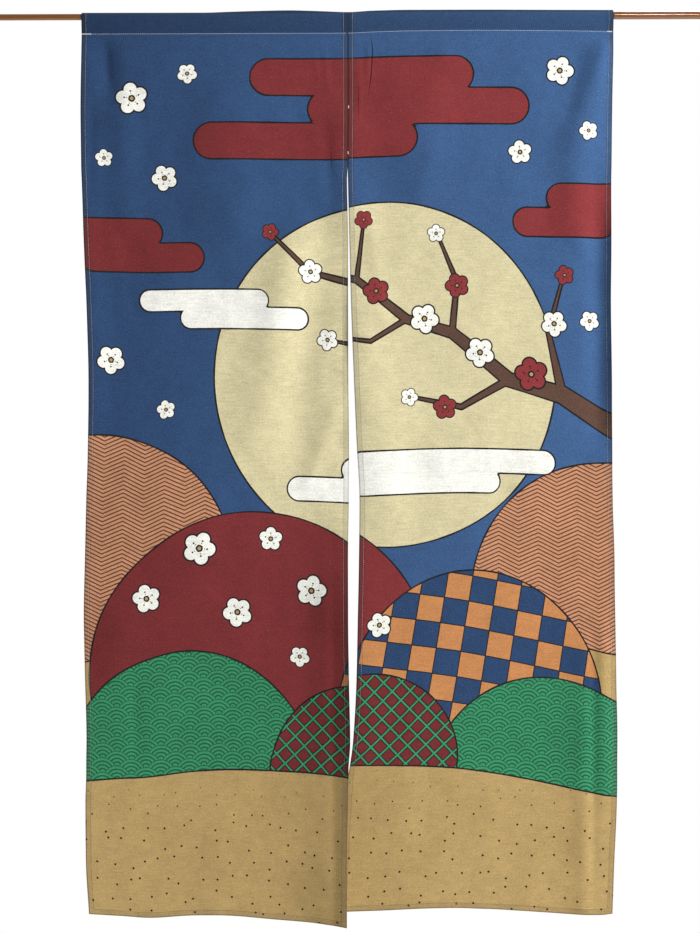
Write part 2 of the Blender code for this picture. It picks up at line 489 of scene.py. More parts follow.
@dataclass(frozen=True)
class Design:
    """A plum branch before the moon, with bars of mist over patterned hills.

    Each shape is printed over those before it. All are places on the flat cloth: across
    from the seam and down from the rod's axis.
    """

    shapes: tuple[tuple[str, tuple[Disc | Band, ...]], ...] = (
        ("moon", (Disc(58, 590, 283),)),
        ("straw", (Disc(-412, 905, 222), Disc(418, 960, 228))),
        ("far_ground", (Disc(20, 2700, 1705),)),
        ("pale_mist", (Band(8, 318, 734, 20), Band(-82, 222, 767, 20))),
        ("high_mist", (Band(-330, -150, 462, 18), Band(-262, -84, 491, 18))),
        ("red_hill", (Disc(-150, 1085, 278),)),
        ("check_hill", (Disc(196, 1128, 214),)),
        ("wave_hills", (Disc(-262, 1240, 204), Disc(318, 1282, 196))),
        ("trellis_hill", (Disc(22, 1232, 152),)),
        ("near_ground", (Disc(-80, 3900, 2672),)),
        ("red_mist", (Band(-130, 176, 98, 30), Band(-36, 268, 150, 30), Band(-222, 84, 202, 30))),
        ("left_mist", (Band(-480, -330, 352, 24), Band(-420, -262, 392, 24))),
        ("right_mist", (Band(352, 480, 300, 24), Band(296, 420, 340, 24))),
    )
    branches: tuple[tuple[Bend, ...], ...] = (
        (
            Bend(480, 700, 19),
            Bend(352, 622, 15),
            Bend(262, 600, 12),
            Bend(168, 524, 9.5),
            Bend(92, 500, 7.5),
            Bend(10, 432, 5.5),
            Bend(-64, 414, 4),
            Bend(-128, 352, 2.4),
        ),
        (Bend(352, 622, 8), Bend(330, 520, 4), Bend(356, 428, 2.2)),
        (Bend(262, 600, 6.5), Bend(180, 646, 4.5), Bend(96, 628, 2.4)),
        (Bend(168, 524, 5.5), Bend(178, 440, 3.6), Bend(146, 362, 2)),
        (Bend(92, 500, 4.5), Bend(30, 534, 3.2), Bend(-34, 524, 1.8)),
        (Bend(10, 432, 3.6), Bend(24, 336, 1.8)),
    )
    blossoms: tuple[Blossom, ...] = (
        Blossom(-352, 132, 27, 10),
        Blossom(-262, 92, 17, 40),
        Blossom(-300, 262, 22, 25),
        Blossom(-398, 230, 15, 5),
        Blossom(-398, 560, 24, 33),
        Blossom(-306, 640, 16, 12),
        Blossom(348, 92, 24, 52),
        Blossom(396, 190, 16, 20),
        Blossom(284, 226, 20, 8),
        Blossom(400, 500, 17, 30),
        Blossom(300, 590, 28, 10, Bloom.RED),
        Blossom(340, 506, 22, 40),
        Blossom(358, 426, 16, 15, Bloom.RED),
        Blossom(214, 556, 25, 30),
        Blossom(152, 646, 20, 5, Bloom.RED),
        Blossom(92, 628, 15, 50),
        Blossom(178, 446, 20, 20, Bloom.RED),
        Blossom(144, 360, 15, 0),
        Blossom(122, 500, 25, 44),
        Blossom(42, 452, 22, 12, Bloom.RED),
        Blossom(-34, 524, 18, 28),
        Blossom(24, 334, 15, 33, Bloom.RED),
        Blossom(-62, 414, 20, 8),
        Blossom(-128, 350, 14, 50, Bloom.RED),
        Blossom(-332, 948, 24, 15),
        Blossom(-246, 868, 28, 48),
        Blossom(-128, 850, 20, 0),
        Blossom(-182, 972, 25, 28),
        Blossom(-60, 932, 26, 60),
        Blossom(-80, 1040, 17, 36),
        Blossom(36, 1000, 21, 18),
    )
    far: float = 3.0

    def distances(self, across: np.ndarray, drop: np.ndarray) -> dict[str, np.ndarray]:
        """Signed distance to each printed shape, negative inside.

        A disc is the distance to its middle less its radius, and a band is the distance to
        its middle line less its radius. A shape of several is the least of them.

        Args:
            across: places across the flat cloth, in metres.
            drop: places down the flat cloth, in metres.

        Returns:
            An array of distances in metres for each shape's name.
        """
        found = {}
        for name, parts in self.shapes:
            near = []
            for part in parts:
                start, end = (part.across,) * 2 if isinstance(part, Disc) else part[:2]
                aside = across - np.clip(across, start * MM, end * MM)
                near.append(np.hypot(aside, drop - part.drop * MM) - part.radius * MM)
            found[name] = np.min(near, axis=0)
        return found

    def blossom_places(self, across: np.ndarray, drop: np.ndarray) -> tuple[np.ndarray, ...]:
        """Each point's place in its nearest blossom's own axes, in blossom radii.

        Args:
            across: places across the flat cloth, in metres.
            drop: places down the flat cloth, in metres.

        Returns:
            Place across, place up and distance in a last axis of three, and share of red.
        """
        middle = np.array([row[:2] for row in self.blossoms]) * MM
        size = np.array([row.radius for row in self.blossoms]) * MM
        turn = np.radians([row.turn for row in self.blossoms])
        aside = across[..., None] - middle[:, 0]
        above = middle[:, 1] - drop[..., None]
        own = [
            (aside * np.cos(turn) + above * np.sin(turn)) / size,
            (above * np.cos(turn) - aside * np.sin(turn)) / size,
        ]
        own.append(np.hypot(*own))
        closest = np.argmin(own[2], axis=-1)
        found = [np.take_along_axis(part, closest[..., None], -1)[..., 0] for part in own]
        red = np.array([row.bloom.value for row in self.blossoms])[closest]
        return np.clip(np.stack(found, axis=-1), -self.far, self.far), red


class Patches(NamedTuple):
    """Uneven patches of tone: how many to a metre, finer octaves and their share, swing."""

    scale: float
    detail: float
    roughness: float = 0.5
    swing: float = 1.0


@dataclass(frozen=True)
class PrintedCotton:
    """Plain-woven slub cotton, screen printed in flat colours with black key lines.

    The uneven weft gives short dark and pale streaks across the cloth, the ink sits on the
    yarns' tops so that the ground shows through as flecks, and the face is matt with a faint
    bloom. On the reverse the same print shows through paler.
    """

    design: Design = Design()
    ink: str = "#1C1819"
    blue: str = "#264065"
    pale_blue: str = "#3C5D8A"
    red: str = "#6E2628"
    pale_red: str = "#853235"
    cream: str = "#CEC49C"
    ochre: str = "#AC915E"
    green: str = "#348A5F"
    deep_green: str = "#1A5239"
    tan: str = "#BC804F"
    white: str = "#ECECE4"
    straw: str = "#BE8A68"
    rust: str = "#5E3024"
    bark: str = "#5A4136"
    ground: str = "#DAD6C6"
    grain: str = "#2B150C"
    shade: str = "#55544F"
    half_width: float = 430 * MM
    key_line: float = 1.35 * MM
    key_line_swing: float = 0.75 * MM
    edge_fray: float = 0.35 * MM
    fine_line: float = 1.1 * MM
    check: float = 42 * MM
    check_line: float = 0.9 * MM
    check_turn: float = -9
    scale_radius: float = 24 * MM
    ring: float = 6 * MM
    ring_line: float = 1.15 * MM
    trellis: float = 15 * MM
    lath: float = 3.2 * MM
    chevron: float = 34 * MM
    chevron_slope: float = 0.45
    blossom_reach: float = 1.12
    blossom_line: float = 0.05
    hatch: float = 3.3 * MM
    grain_spacing: float = 29 * MM
    grain_radius: float = 0.062
    grain_scatter: float = 0.72
    grains_from: float = 1190 * MM
    grains_full: float = 1330 * MM
    yarn_pitch: float = 1.6 * MM
    bump: float = 0.22 * MM
    fray: Patches = Patches(900, 1)
    swell: Patches = Patches(19, 2)
    flecks: Patches = Patches(330, 4, 0.8)
    mottle: Patches = Patches(70, 3, swing=0.3)
    clouds: Patches = Patches(13, 3, swing=0.16)
    slubs: Patches = Patches(1, 4, 0.62)
    # Slubs are drawn 31 mm long and 2 mm high, which is four yarns, as one is too fine to show
    slubs_to_a_metre: tuple[float, float, float] = (32, 500, 1)
    # Swings of tone on dark ink and on pale
    slub_swing: tuple[float, float] = (0.14, 0.5)
    fleck_swing: tuple[float, float] = (1.7, 1.0)
    # A fleck's tone from which the ground shows, the tone where it shows most, and the shares
    bare: tuple[float, ...] = (0.64, 0.78, 0.0, 0.3)
    dark_ink: float = 0.08
    pale_ink: float = 0.35
    # Brightness of dark ink and of paler ink, and how deep a hem's painted shade is on each
    hem_shade_by_ink: tuple[float, ...] = (0.08, 0.3, 0.3, 0.03)
    reverse_ground: float = 0.56
    pack_fold: float = 240 * MM
    pack_start: float = 30 * MM
    pack_line: float = 2.5 * MM
    hem: float = 8.3 * MM
    stitch_in: float = 7.2 * MM
    # Half the width of a stitched groove, and of the painted shadow along a hem's cut edge behind
    groove: float = 0.8 * MM
    # Width of the painted shade along a folded edge
    edge: float = 1.7 * MM
    crest: float = 36 * MM
    # Half the width of the painted shade along the pocket's crest
    crest_shade_reach: float = 4.5 * MM
    # Share of grey painted shade mixed into a hem
    hem_painted_shade: float = 0.14
    least_light: float = 0.35
    wrinkle_rise: float = 1.0 * MM
    wrinkles: tuple[tuple[Bend, ...], ...] = (
        (Bend(36, 28, 0.4), Bend(39.5, 57, 1.7), Bend(37, 98, 1.6), Bend(32.5, 130, 0.3)),
        (Bend(17, 107, 0.3), Bend(16, 135, 1.2), Bend(16.5, 173, 0.2)),
        (Bend(-28, 208, 0.3), Bend(-27.5, 232, 1.4), Bend(-24, 257, 0.2)),
    )

    def material(self, face: Face) -> bpy.types.Material:
        """The cloth's material on one of its faces.

        Args:
            face: the face.

        Returns:
            The material.
        """
        material = bpy.data.materials.new(f"screen printed slub cotton {face.value}")
        ClothNodes(material, self, face).build()
        return material


class ClothNodes(Nodes):
    """The printed cloth's nodes on one face: print, weave, painted shade and relief."""

    def __init__(self, material: bpy.types.Material, cotton: PrintedCotton, face: Face) -> None:
        """Start with the place on the flat cloth and the distance from its folded edges.

        Args:
            material: the material to fill.
            cotton: the cloth's inks and sizes.
            face: the face that the material is for.
        """
        super().__init__(material)
        self.cotton = cotton
        self.face = face
        self.place = self.add("ShaderNodeUVMap", uv_map=CLOTH_MAP)
        self.across, self.up = self.add(SPLIT, self.place).node.outputs[:2]
        self.drop = self.add(MATH, self.up, -1.0, operation="MULTIPLY")
        self.rim = self.add(ATTRIBUTE, out="Fac", attribute_name="rim")

    def build(self) -> None:
        """Fill the material."""
        colour = self.blossomed(self.branched(self.painted()))
        if self.face is Face.REVERSE:
            ground = linear(self.cotton.ground)
            inks = {UNDER: colour, OVER: ground}
            colour = self.add(MIX, self.cotton.reverse_ground, named=inks, **COLOUR)
        slub, wrinkle = self.slub(), self.wrinkled()
        surface = {
            "Base Color": self.with_painted_shade(self.woven(colour, slub), wrinkle),
            "Roughness": 0.9,
            "Specular IOR Level": 0.2,
            "Sheen Weight": 0.1,
            "Sheen Roughness": 0.5,
            "Normal": self.relief(slub, wrinkle),
        }
        shader = self.add("ShaderNodeBsdfPrincipled", named=surface)
        self.add("ShaderNodeOutputMaterial", shader)

    def uneven(self, place: Socket, patches: Patches) -> Socket:
        """Patches of tone from 0 to 1."""
        sizes = dict(zip(("Scale", "Detail", "Roughness"), patches))
        return self.add(NOISE, named={"Vector": place, **sizes})

    def graded(self, full: str, thin: str) -> Socket:
        """An ink's colour that is darker at the left edge and lighter towards the right.

        Args:
            full: its colour at the left edge.
            thin: its colour at the right edge.

        Returns:
            Its colour across the cloth.
        """
        reach = self.cotton.half_width
        part = self.add(RANGE, self.across, -reach, reach)
        return self.add(MIX, part, named={UNDER: linear(full), OVER: linear(thin)}, **COLOUR)

    def printed(self, under: Any, away: Socket, filling: Any, key_line: Any) -> Socket:
        """Print one shape and its key line.

        Args:
            under: the colour so far.
            away: signed distance to the shape's edge, negative inside.
            filling: the shape's colour.
            key_line: half the line's width, or None for no line.

        Returns:
            The colour with the shape over it.
        """
        inside = self.add(MATH, away, 0.0, operation="LESS_THAN")
        colour = self.add(MIX, inside, named={UNDER: under, OVER: filling}, **COLOUR)
        if key_line is None:
            return colour
        line = self.add(MATH, away, 0.0, key_line, operation="COMPARE")
        return self.add(MIX, line, named={UNDER: colour, OVER: linear(self.cotton.ink)}, **COLOUR)

    def frayed(self, away: Socket) -> Socket:
        """Make a shape's edge wander a little from yarn to yarn.

        Args:
            away: signed distance to the edge.

        Returns:
            Signed distance to the uneven edge.
        """
        fray = self.uneven(self.place, self.cotton.fray)
        swing = self.add(MATH, fray, 2 * self.cotton.edge_fray, away, operation="MULTIPLY_ADD")
        return self.add(MATH, swing, self.cotton.edge_fray, operation="SUBTRACT")

    def brush_line(self) -> Socket:
        """Key lines swell and thin like brush strokes.

        Returns:
            Half a key line's width.
        """
        least = self.cotton.key_line - self.cotton.key_line_swing
        swing = self.uneven(self.place, self.cotton.swell)
        return self.add(
            MATH, swing, 2 * self.cotton.key_line_swing, least, operation="MULTIPLY_ADD"
        )

    def painted(self) -> Socket:
        """Print each shape's filling and key line over the sky and the shapes before it.

        Returns:
            The colour so far.
        """
        cotton = self.cotton
        red, white = self.graded(cotton.red, cotton.pale_red), linear(cotton.white)
        ground = self.sandy()
        fillings = {
            "moon": linear(cotton.cream),
            "straw": self.thatched(),
            "far_ground": ground,
            "pale_mist": white,
            "high_mist": white,
            "red_hill": red,
            "check_hill": self.checked(),
            "wave_hills": self.scaled(),
            "trellis_hill": self.latticed(),
            "near_ground": ground,
            "red_mist": red,
            "left_mist": red,
            "right_mist": red,
        }
        line, colour = self.brush_line(), self.graded(cotton.blue, cotton.pale_blue)
        for name, _ in cotton.design.shapes:
            away = self.frayed(self.add(ATTRIBUTE, out="Fac", attribute_name=name))
            colour = self.printed(colour, away, fillings[name], line)
        return colour

    def beside(self, head: Bend, tail: Bend) -> Socket:
        """Measure the way to a straight, tapered length of a branch or a wrinkle.

        It is the distance to the nearest place on its middle line, less the radius there.

        Args:
            head: the length's first end.
            tail: its other end.

        Returns:
            Signed distance, negative inside.
        """
        start = (head.across * MM, -head.drop * MM, 0.0)
        run = (tail.across * MM - start[0], -tail.drop * MM - start[1], 0.0)
        scaled = tuple(part / (run[0] ** 2 + run[1] ** 2) for part in run)
        aside = self.add(VECTOR, self.place, start, operation="SUBTRACT")
        along = self.add(VECTOR, aside, scaled, out="Value", operation="DOT_PRODUCT")
        along = self.add(MATH, along, 1.0, operation="MULTIPLY", use_clamp=True)
        on_line = self.add(VECTOR, run, named={"Scale": along}, operation="SCALE")
        away = self.add(VECTOR, aside, on_line, out="Value", operation="DISTANCE")
        taper = (head.radius - tail.radius) * MM
        away = self.add(MATH, along, taper, away, operation="MULTIPLY_ADD")
        return self.add(MATH, away, head.radius * MM, operation="SUBTRACT")

    def wrinkled(self) -> Socket:
        """Sharp wrinkles, each deepest along its middle line.

        Returns:
            How deep the cloth lies, from 0 beside a wrinkle to 1.
        """
        deepest = 0.0
        for ends in lengths(self.cotton.wrinkles):
            away = self.beside(*ends)
            depth = self.add(RANGE, away, -self.cotton.wrinkle_rise, 0.0, 1.0, 0.0)
            deepest = self.add(MATH, depth, deepest, operation="MAXIMUM")
        return deepest

    def branched(self, colour: Socket) -> Socket:
        """Print the branch over a colour, at the least of its lengths' distances.

        Args:
            colour: the colour so far.

        Returns:
            The colour with the branch over it.
        """
        first, *others = [self.beside(*ends) for ends in lengths(self.cotton.design.branches)]
        branch = first
        for away in others:
            branch = self.add(MATH, branch, away, operation="MINIMUM")
        bark = linear(self.cotton.bark)
        return self.printed(colour, self.frayed(branch), bark, self.brush_line())

    def blossomed(self, colour: Socket) -> Socket:
        """Print the blossoms over a colour.

        The angle is folded onto one petal, a circle on that petal's axis. A small ring and
        five stamens mark the middle. Past a blossom's reach its distances are raised, so that
        nothing is printed between blossoms.

        Args:
            colour: the colour so far.

        Returns:
            The colour with the blossoms over it.
        """
        cotton = self.cotton
        own = self.add(ATTRIBUTE, out="Vector", attribute_name="blossom")
        x, y, reach = self.add(SPLIT, own).node.outputs[:3]
        angle = self.add(MATH, x, y, operation="ARCTAN2")
        angle = self.add(MATH, angle, math.pi / 5, operation="PINGPONG")
        flat = self.add(JOIN, x, y)
        length = self.add(VECTOR, flat, out="Value", operation="LENGTH")
        turned = [self.add(MATH, angle, operation=part) for part in ("COSINE", "SINE")]
        sides = [self.add(MATH, part, length, operation="MULTIPLY") for part in turned]
        petal_place = self.add(JOIN, *sides)
        outside = self.add(MATH, reach, cotton.blossom_reach, operation="GREATER_THAN")
        red = self.add(ATTRIBUTE, out="Fac", attribute_name="red_bloom")
        inks = {UNDER: linear(cotton.white), OVER: linear(cotton.pale_red)}
        petal = self.add(MIX, red, named=inks, **COLOUR)
        ink, line = linear(cotton.ink), cotton.blossom_line
        # Middle along the petal's axis, radius, filling and half the key line
        marks = (
            (0.56, 0.44, petal, line),
            (0.46, 0.055, ink, None),
            (0.32, 0.032, ink, None),
            (0.0, 0.16, linear(cotton.ochre), line),
        )
        for middle, radius, filling, key_line in marks:
            centre = (middle, 0, 0)
            away = self.add(VECTOR, petal_place, centre, out="Value", operation="DISTANCE")
            away = self.add(MATH, away, radius, operation="SUBTRACT")
            away = self.add(MATH, away, outside, operation="ADD")
            colour = self.printed(colour, away, filling, key_line)
        return colour

    def checked(self) -> Socket:
        """Blue and tan checks, a little turned, with thin key lines between them.

        Returns:
            The pattern's colour.
        """
        cotton = self.cotton
        place = self.add(JOIN, self.across, self.drop)
        turned = {"Vector": place, "Rotation": (0, 0, math.radians(cotton.check_turn))}
        turned = self.add("ShaderNodeMapping", named=turned)
        inks = linear(cotton.blue), linear(cotton.tan)
        checks = self.add("ShaderNodeTexChecker", turned, *inks, 1 / cotton.check)
        sides = self.add(SPLIT, turned).node.outputs[:2]
        gaps = [self.add(MATH, side, cotton.check / 2, operation="PINGPONG") for side in sides]
        gap = self.add(MATH, *gaps, operation="MINIMUM")
        away = self.add(MATH, gap, cotton.check_line, operation="SUBTRACT")
        return self.printed(checks, away, linear(cotton.ink), None)

    def latticed(self) -> Socket:
        """A green trellis with key lines over red lozenges.

        Returns:
            The pattern's colour.
        """
        cotton = self.cotton
        sides = self.across, self.drop
        slants = [self.add(MATH, *sides, operation=way) for way in ("ADD", "SUBTRACT")]
        gaps = [self.add(MATH, slant, cotton.trellis, operation="PINGPONG") for slant in slants]
        away = self.add(MATH, *gaps, operation="MINIMUM")
        away = self.add(MATH, away, cotton.lath, operation="SUBTRACT")
        return self.printed(linear(cotton.red), away, linear(cotton.green), cotton.fine_line)

    def thatched(self) -> Socket:
        """Straw: rust lines on tan that turn back and forth in chevrons.

        Returns:
            The pattern's colour.
        """
        cotton = self.cotton
        zigzag = self.add(MATH, self.across, cotton.chevron, operation="PINGPONG")
        lines = self.add(MATH, zigzag, cotton.chevron_slope, self.drop, operation="MULTIPLY_ADD")
        lines = self.add(MATH, lines, cotton.hatch, operation="PINGPONG")
        away = self.add(MATH, lines, cotton.fine_line, operation="SUBTRACT")
        return self.printed(linear(cotton.straw), away, linear(cotton.rust), None)

    def scaled(self) -> Socket:
        """Green overlapping wave scales, the old pattern of rings in rows.

        Rings stand in rows half a radius apart, each row half a scale aside from the last.
        A place belongs to the lowest row whose ring holds it, out of three that may.

        Returns:
            The pattern's colour.
        """
        cotton = self.cotton
        radius = cotton.scale_radius
        rows = self.add(MATH, self.drop, radius / 2, operation="DIVIDE")
        below = self.add(MATH, rows, operation="CEIL")
        rings = []
        for step in (-1, 0, 1):
            row = self.add(MATH, below, step, operation="ADD")
            down = self.add(MATH, row, rows, operation="SUBTRACT")
            down = self.add(MATH, down, radius / 2, operation="MULTIPLY")
            aside = self.add(MATH, row, radius, self.across, operation="MULTIPLY_ADD")
            aside = self.add(MATH, aside, radius, operation="PINGPONG")
            away = self.add(JOIN, aside, down)
            rings.append(self.add(VECTOR, away, out="Value", operation="LENGTH"))
        chosen = rings[0]
        for away in rings[1:]:
            held = self.add(MATH, away, radius, operation="LESS_THAN")
            chosen = self.add(MIX, held, named={FIRST: chosen, SECOND: away})
        ring = self.add(MATH, chosen, cotton.ring / 2, operation="PINGPONG")
        away = self.add(MATH, ring, cotton.ring_line, operation="SUBTRACT")
        return self.printed(linear(cotton.green), away, linear(cotton.deep_green), None)

    def sandy(self) -> Socket:
        """Ochre sand with scattered dark grains, none near its top and more lower down.

        Returns:
            The pattern's colour.
        """
        cotton = self.cotton
        sown = {"Scale": 1 / cotton.grain_spacing, "Randomness": cotton.grain_scatter}
        sown["Vector"] = self.place
        cells = self.add(CELLS, out="Distance", named=sown, voronoi_dimensions="2D")
        fade = cotton.grains_from, cotton.grains_full, 0.0, cotton.grain_radius
        grain = self.add(RANGE, self.drop, *fade)
        away = self.add(MATH, cells, grain, operation="SUBTRACT")
        return self.printed(linear(cotton.ochre), away, linear(cotton.grain), None)

    def slub(self) -> Socket:
        """Thick and thin places of the weft, from 0 to 1: noise drawn out across the cloth."""
        drawn = {"Vector": self.place, "Scale": self.cotton.slubs_to_a_metre}
        return self.uneven(self.add("ShaderNodeMapping", named=drawn), self.cotton.slubs)

    def woven(self, colour: Socket, slub: Socket) -> Socket:
        """Shade a colour by slubs, finer flecks of yarn and clouds of thinner ink.

        The ground shows through where the flecks are palest. Dark inks show flecks most and
        pale ones slubs. Flecks are 3 mm, the mottle 14 mm and the clouds 77 mm across.

        Args:
            colour: the print.
            slub: the weft's thick places.

        Returns:
            The colour as the cloth's yarns show it.
        """
        cotton = self.cotton
        bright = self.add("ShaderNodeRGBToBW", colour)
        inks = bright, cotton.dark_ink, cotton.pale_ink
        depth = self.add(RANGE, *inks, *cotton.slub_swing)
        tone = self.add(MATH, slub, 0.5, operation="SUBTRACT")
        tone = self.add(MATH, tone, depth, 1.0, operation="MULTIPLY_ADD")
        flecks = self.uneven(self.place, cotton.flecks)
        noises = [(flecks, self.add(RANGE, *inks, *cotton.fleck_swing))]
        for row in (cotton.mottle, cotton.clouds):
            noises.append((self.uneven(self.place, row), row.swing))
        for noise, swing in noises:
            noise = self.add(MATH, noise, 0.5, operation="SUBTRACT")
            tone = self.add(MATH, noise, swing, tone, operation="MULTIPLY_ADD")
        colour = self.add(VECTOR, colour, named={"Scale": tone}, operation="SCALE")
        bare = self.add(RANGE, flecks, *cotton.bare)
        return self.add(MIX, bare, named={UNDER: colour, OVER: linear(cotton.ground)}, **COLOUR)

    def with_painted_shade(self, colour: Socket, wrinkle: Socket) -> Socket:
        """Darken a colour where a second layer behind stops light from coming through.

        That is painted shade in the hems and the rod pocket, and dark inks show it most in the
        hems. Painted shade also lies along folded edges, along a hem's cut edge behind, along the
        pocket's crest and in wrinkles, where less light falls.

        Args:
            colour: the cloth's colour.
            wrinkle: how deep a sharp wrinkle is, from 0 to 1.

        Returns:
            The colour with its painted shade.
        """
        cotton = self.cotton
        rim = self.rim
        above = self.add(ATTRIBUTE, out="Fac", attribute_name="above")
        hemmed = self.add(MATH, rim, cotton.hem, operation="LESS_THAN")
        bright = self.add("ShaderNodeRGBToBW", colour)
        hem_shade_depth = self.add(RANGE, bright, *cotton.hem_shade_by_ink)
        hem_shade_depth = self.add(MATH, hemmed, hem_shade_depth, operation="MULTIPLY")
        # A grey painted shade is mixed into the hem strips
        hem_greyed = self.add(MATH, hemmed, cotton.hem_painted_shade, operation="MULTIPLY")
        colour = self.add(MIX, hem_greyed, named={UNDER: colour, OVER: linear(cotton.shade)}, **COLOUR)
        # Painted shade, where light is lost, and how much of it: hem, folded edge, cut edge
        # behind, pocket, pocket's crest and wrinkle
        dimmed = (
            (hem_shade_depth, 0.8),
            (self.add(MATH, rim, cotton.edge, operation="LESS_THAN"), 0.34),
            (self.add(MATH, rim, cotton.hem, cotton.groove, operation="COMPARE"), 0.18),
            (self.add(MATH, above, 0.0, operation="GREATER_THAN"), 0.34),
            (self.add(MATH, above, cotton.crest, cotton.crest_shade_reach, operation="COMPARE"), 0.25),
            (wrinkle, 0.6),
        )
        light = 1.0
        for place, depth in dimmed:
            light = self.add(MATH, place, -depth, light, operation="MULTIPLY_ADD")
        light = self.add(MATH, light, cotton.least_light, operation="MAXIMUM")
        return self.add(VECTOR, colour, named={"Scale": light}, operation="SCALE")

    def relief(self, slub: Socket, wrinkle: Socket) -> Socket:
        """Bumps of yarns, slubs, stitched grooves, wrinkles and the packing's lines.

        Yarns cross 0.5 mm apart on the real cloth and are drawn 1.6 mm apart, or they would
        be too fine to show. Warp and weft are two sines, multiplied.

        Args:
            slub: the weft's thick places.
            wrinkle: how deep a sharp wrinkle is, from 0 to 1.

        Returns:
            The bumped normal.
        """
        cotton = self.cotton
        waves = []
        for side in (self.across, self.up):
            turn = self.add(MATH, side, 2 * math.pi / cotton.yarn_pitch, operation="MULTIPLY")
            waves.append(self.add(MATH, turn, operation="SINE"))
        groove = self.add(MATH, self.rim, cotton.stitch_in, cotton.groove, operation="COMPARE")
        line = self.add(MATH, self.up, cotton.pack_start, operation="ADD")
        line = self.add(MATH, line, cotton.pack_fold / 2, operation="PINGPONG")
        line = self.add(RANGE, line, 0.0, cotton.pack_line, 1.0, 0.0)
        height = 0.0
        # Heights in shares of the bump's
        for part, rise in (
            (self.add(MATH, *waves, operation="MULTIPLY"), 0.12),
            (slub, 0.6),
            (groove, -0.5),
            (wrinkle, -3.0),
            (line, 1.6),
        ):
            height = self.add(MATH, part, rise, height, operation="MULTIPLY_ADD")
        bump = {"Height": height, "Strength": 1.0, "Distance": cotton.bump}
        return self.add("ShaderNodeBump", named=bump)


@dataclass(frozen=True)
class SewingThread:
    """Spun polyester sewing thread, matt beige with a tight twist."""

    colour: str = "#D2D0D2"
    inked: str = "#BBA47C"
    inked_from: float = -1180 * MM
    inked_to: float = -1230 * MM
    fibres_to_a_metre: float = 1500
    bump: float = 0.1 * MM

    def material(self) -> bpy.types.Material:
        """The thread's material, with fibres a little lighter and darker along it.

        Low down the ochre ground's ink lies over the thread too.

        Returns:
            The material.
        """
        material = bpy.data.materials.new("spun polyester sewing thread")
        nodes = Nodes(material)
        place = nodes.add("ShaderNodeTexCoord", out="Object")
        noise = {"Vector": place, "Scale": self.fibres_to_a_metre, "Detail": 1}
        fibre = nodes.add(NOISE, named=noise)
        light = nodes.add(MATH, fibre, 0.5, 0.75, operation="MULTIPLY_ADD")
        height = nodes.add(SPLIT, place).node.outputs[2]
        inked = nodes.add(RANGE, height, self.inked_from, self.inked_to)
        inks = {UNDER: linear(self.colour), OVER: linear(self.inked)}
        colour = nodes.add(MIX, inked, named=inks, **COLOUR)
        colour = nodes.add(VECTOR, colour, named={"Scale": light}, operation="SCALE")
        bump = {"Height": fibre, "Strength": 0.6, "Distance": self.bump}
        surface = {
            "Base Color": colour,
            "Roughness": 0.75,
            "Normal": nodes.add("ShaderNodeBump", named=bump),
        }
        nodes.add("ShaderNodeOutputMaterial", nodes.add("ShaderNodeBsdfPrincipled", named=surface))
        return material


@dataclass(frozen=True)
class BrownEnamel:
    """Brown stove enamel on a drawn steel tube: smooth and glossy, with faint drawn lines."""

    colour: str = "#8E521C"
    dark: str = "#6C390E"
    glint: str = "#FFD8A8"
    streaks_to_a_metre: tuple[float, float, float] = (12, 700, 700)
    matt: tuple[float, float] = (0.24, 0.36)

    def material(self) -> bpy.types.Material:
        """The enamel's material: long faint streaks along the rod under a clear gloss.

        Returns:
            The material.
        """
        material = bpy.data.materials.new("brown gloss enamel on steel tube")
        nodes = Nodes(material)
        place = nodes.add("ShaderNodeTexCoord", out="Object")
        drawn = {"Vector": place, "Scale": self.streaks_to_a_metre}
        drawn = nodes.add("ShaderNodeMapping", named=drawn)
        streak = nodes.add(NOISE, named={"Vector": drawn, "Scale": 1, "Detail": 3})
        inks = {UNDER: linear(self.dark), OVER: linear(self.colour)}
        surface = {
            "Base Color": nodes.add(MIX, streak, named=inks, **COLOUR),
            "Roughness": nodes.add(RANGE, streak, 0.0, 1.0, *self.matt),
            "Specular Tint": linear(self.glint),
            "Specular IOR Level": 0.7,
            "Coat Weight": 1.0,
            "Coat IOR": 1.6,
            "Coat Roughness": 0.1,
        }
        nodes.add("ShaderNodeOutputMaterial", nodes.add("ShaderNodeBsdfPrincipled", named=surface))
        return material


# The cloth panels


class Across(NamedTuple):
    """A panel's columns, from one side hem's cut edge to the other's.

    A column lies at the left edge and the right edge in this share, plus an offset. Its
    layer is 0 on the face and 1 in the hem behind, bulk is 1 where hem lies behind it, and
    flat is its place on the cut cloth.
    """

    share: np.ndarray
    offset: np.ndarray
    layer: np.ndarray
    bulk: np.ndarray
    flat: np.ndarray


class Shell(NamedTuple):
    """A panel's printed face and reverse as grids of points, with its flat places.

    Above is the flat height over the pocket's stitching, and rim is the flat distance from
    the nearest folded edge.
    """

    outer: np.ndarray
    inner: np.ndarray
    normal: np.ndarray
    flat: np.ndarray
    above: np.ndarray
    rim: np.ndarray


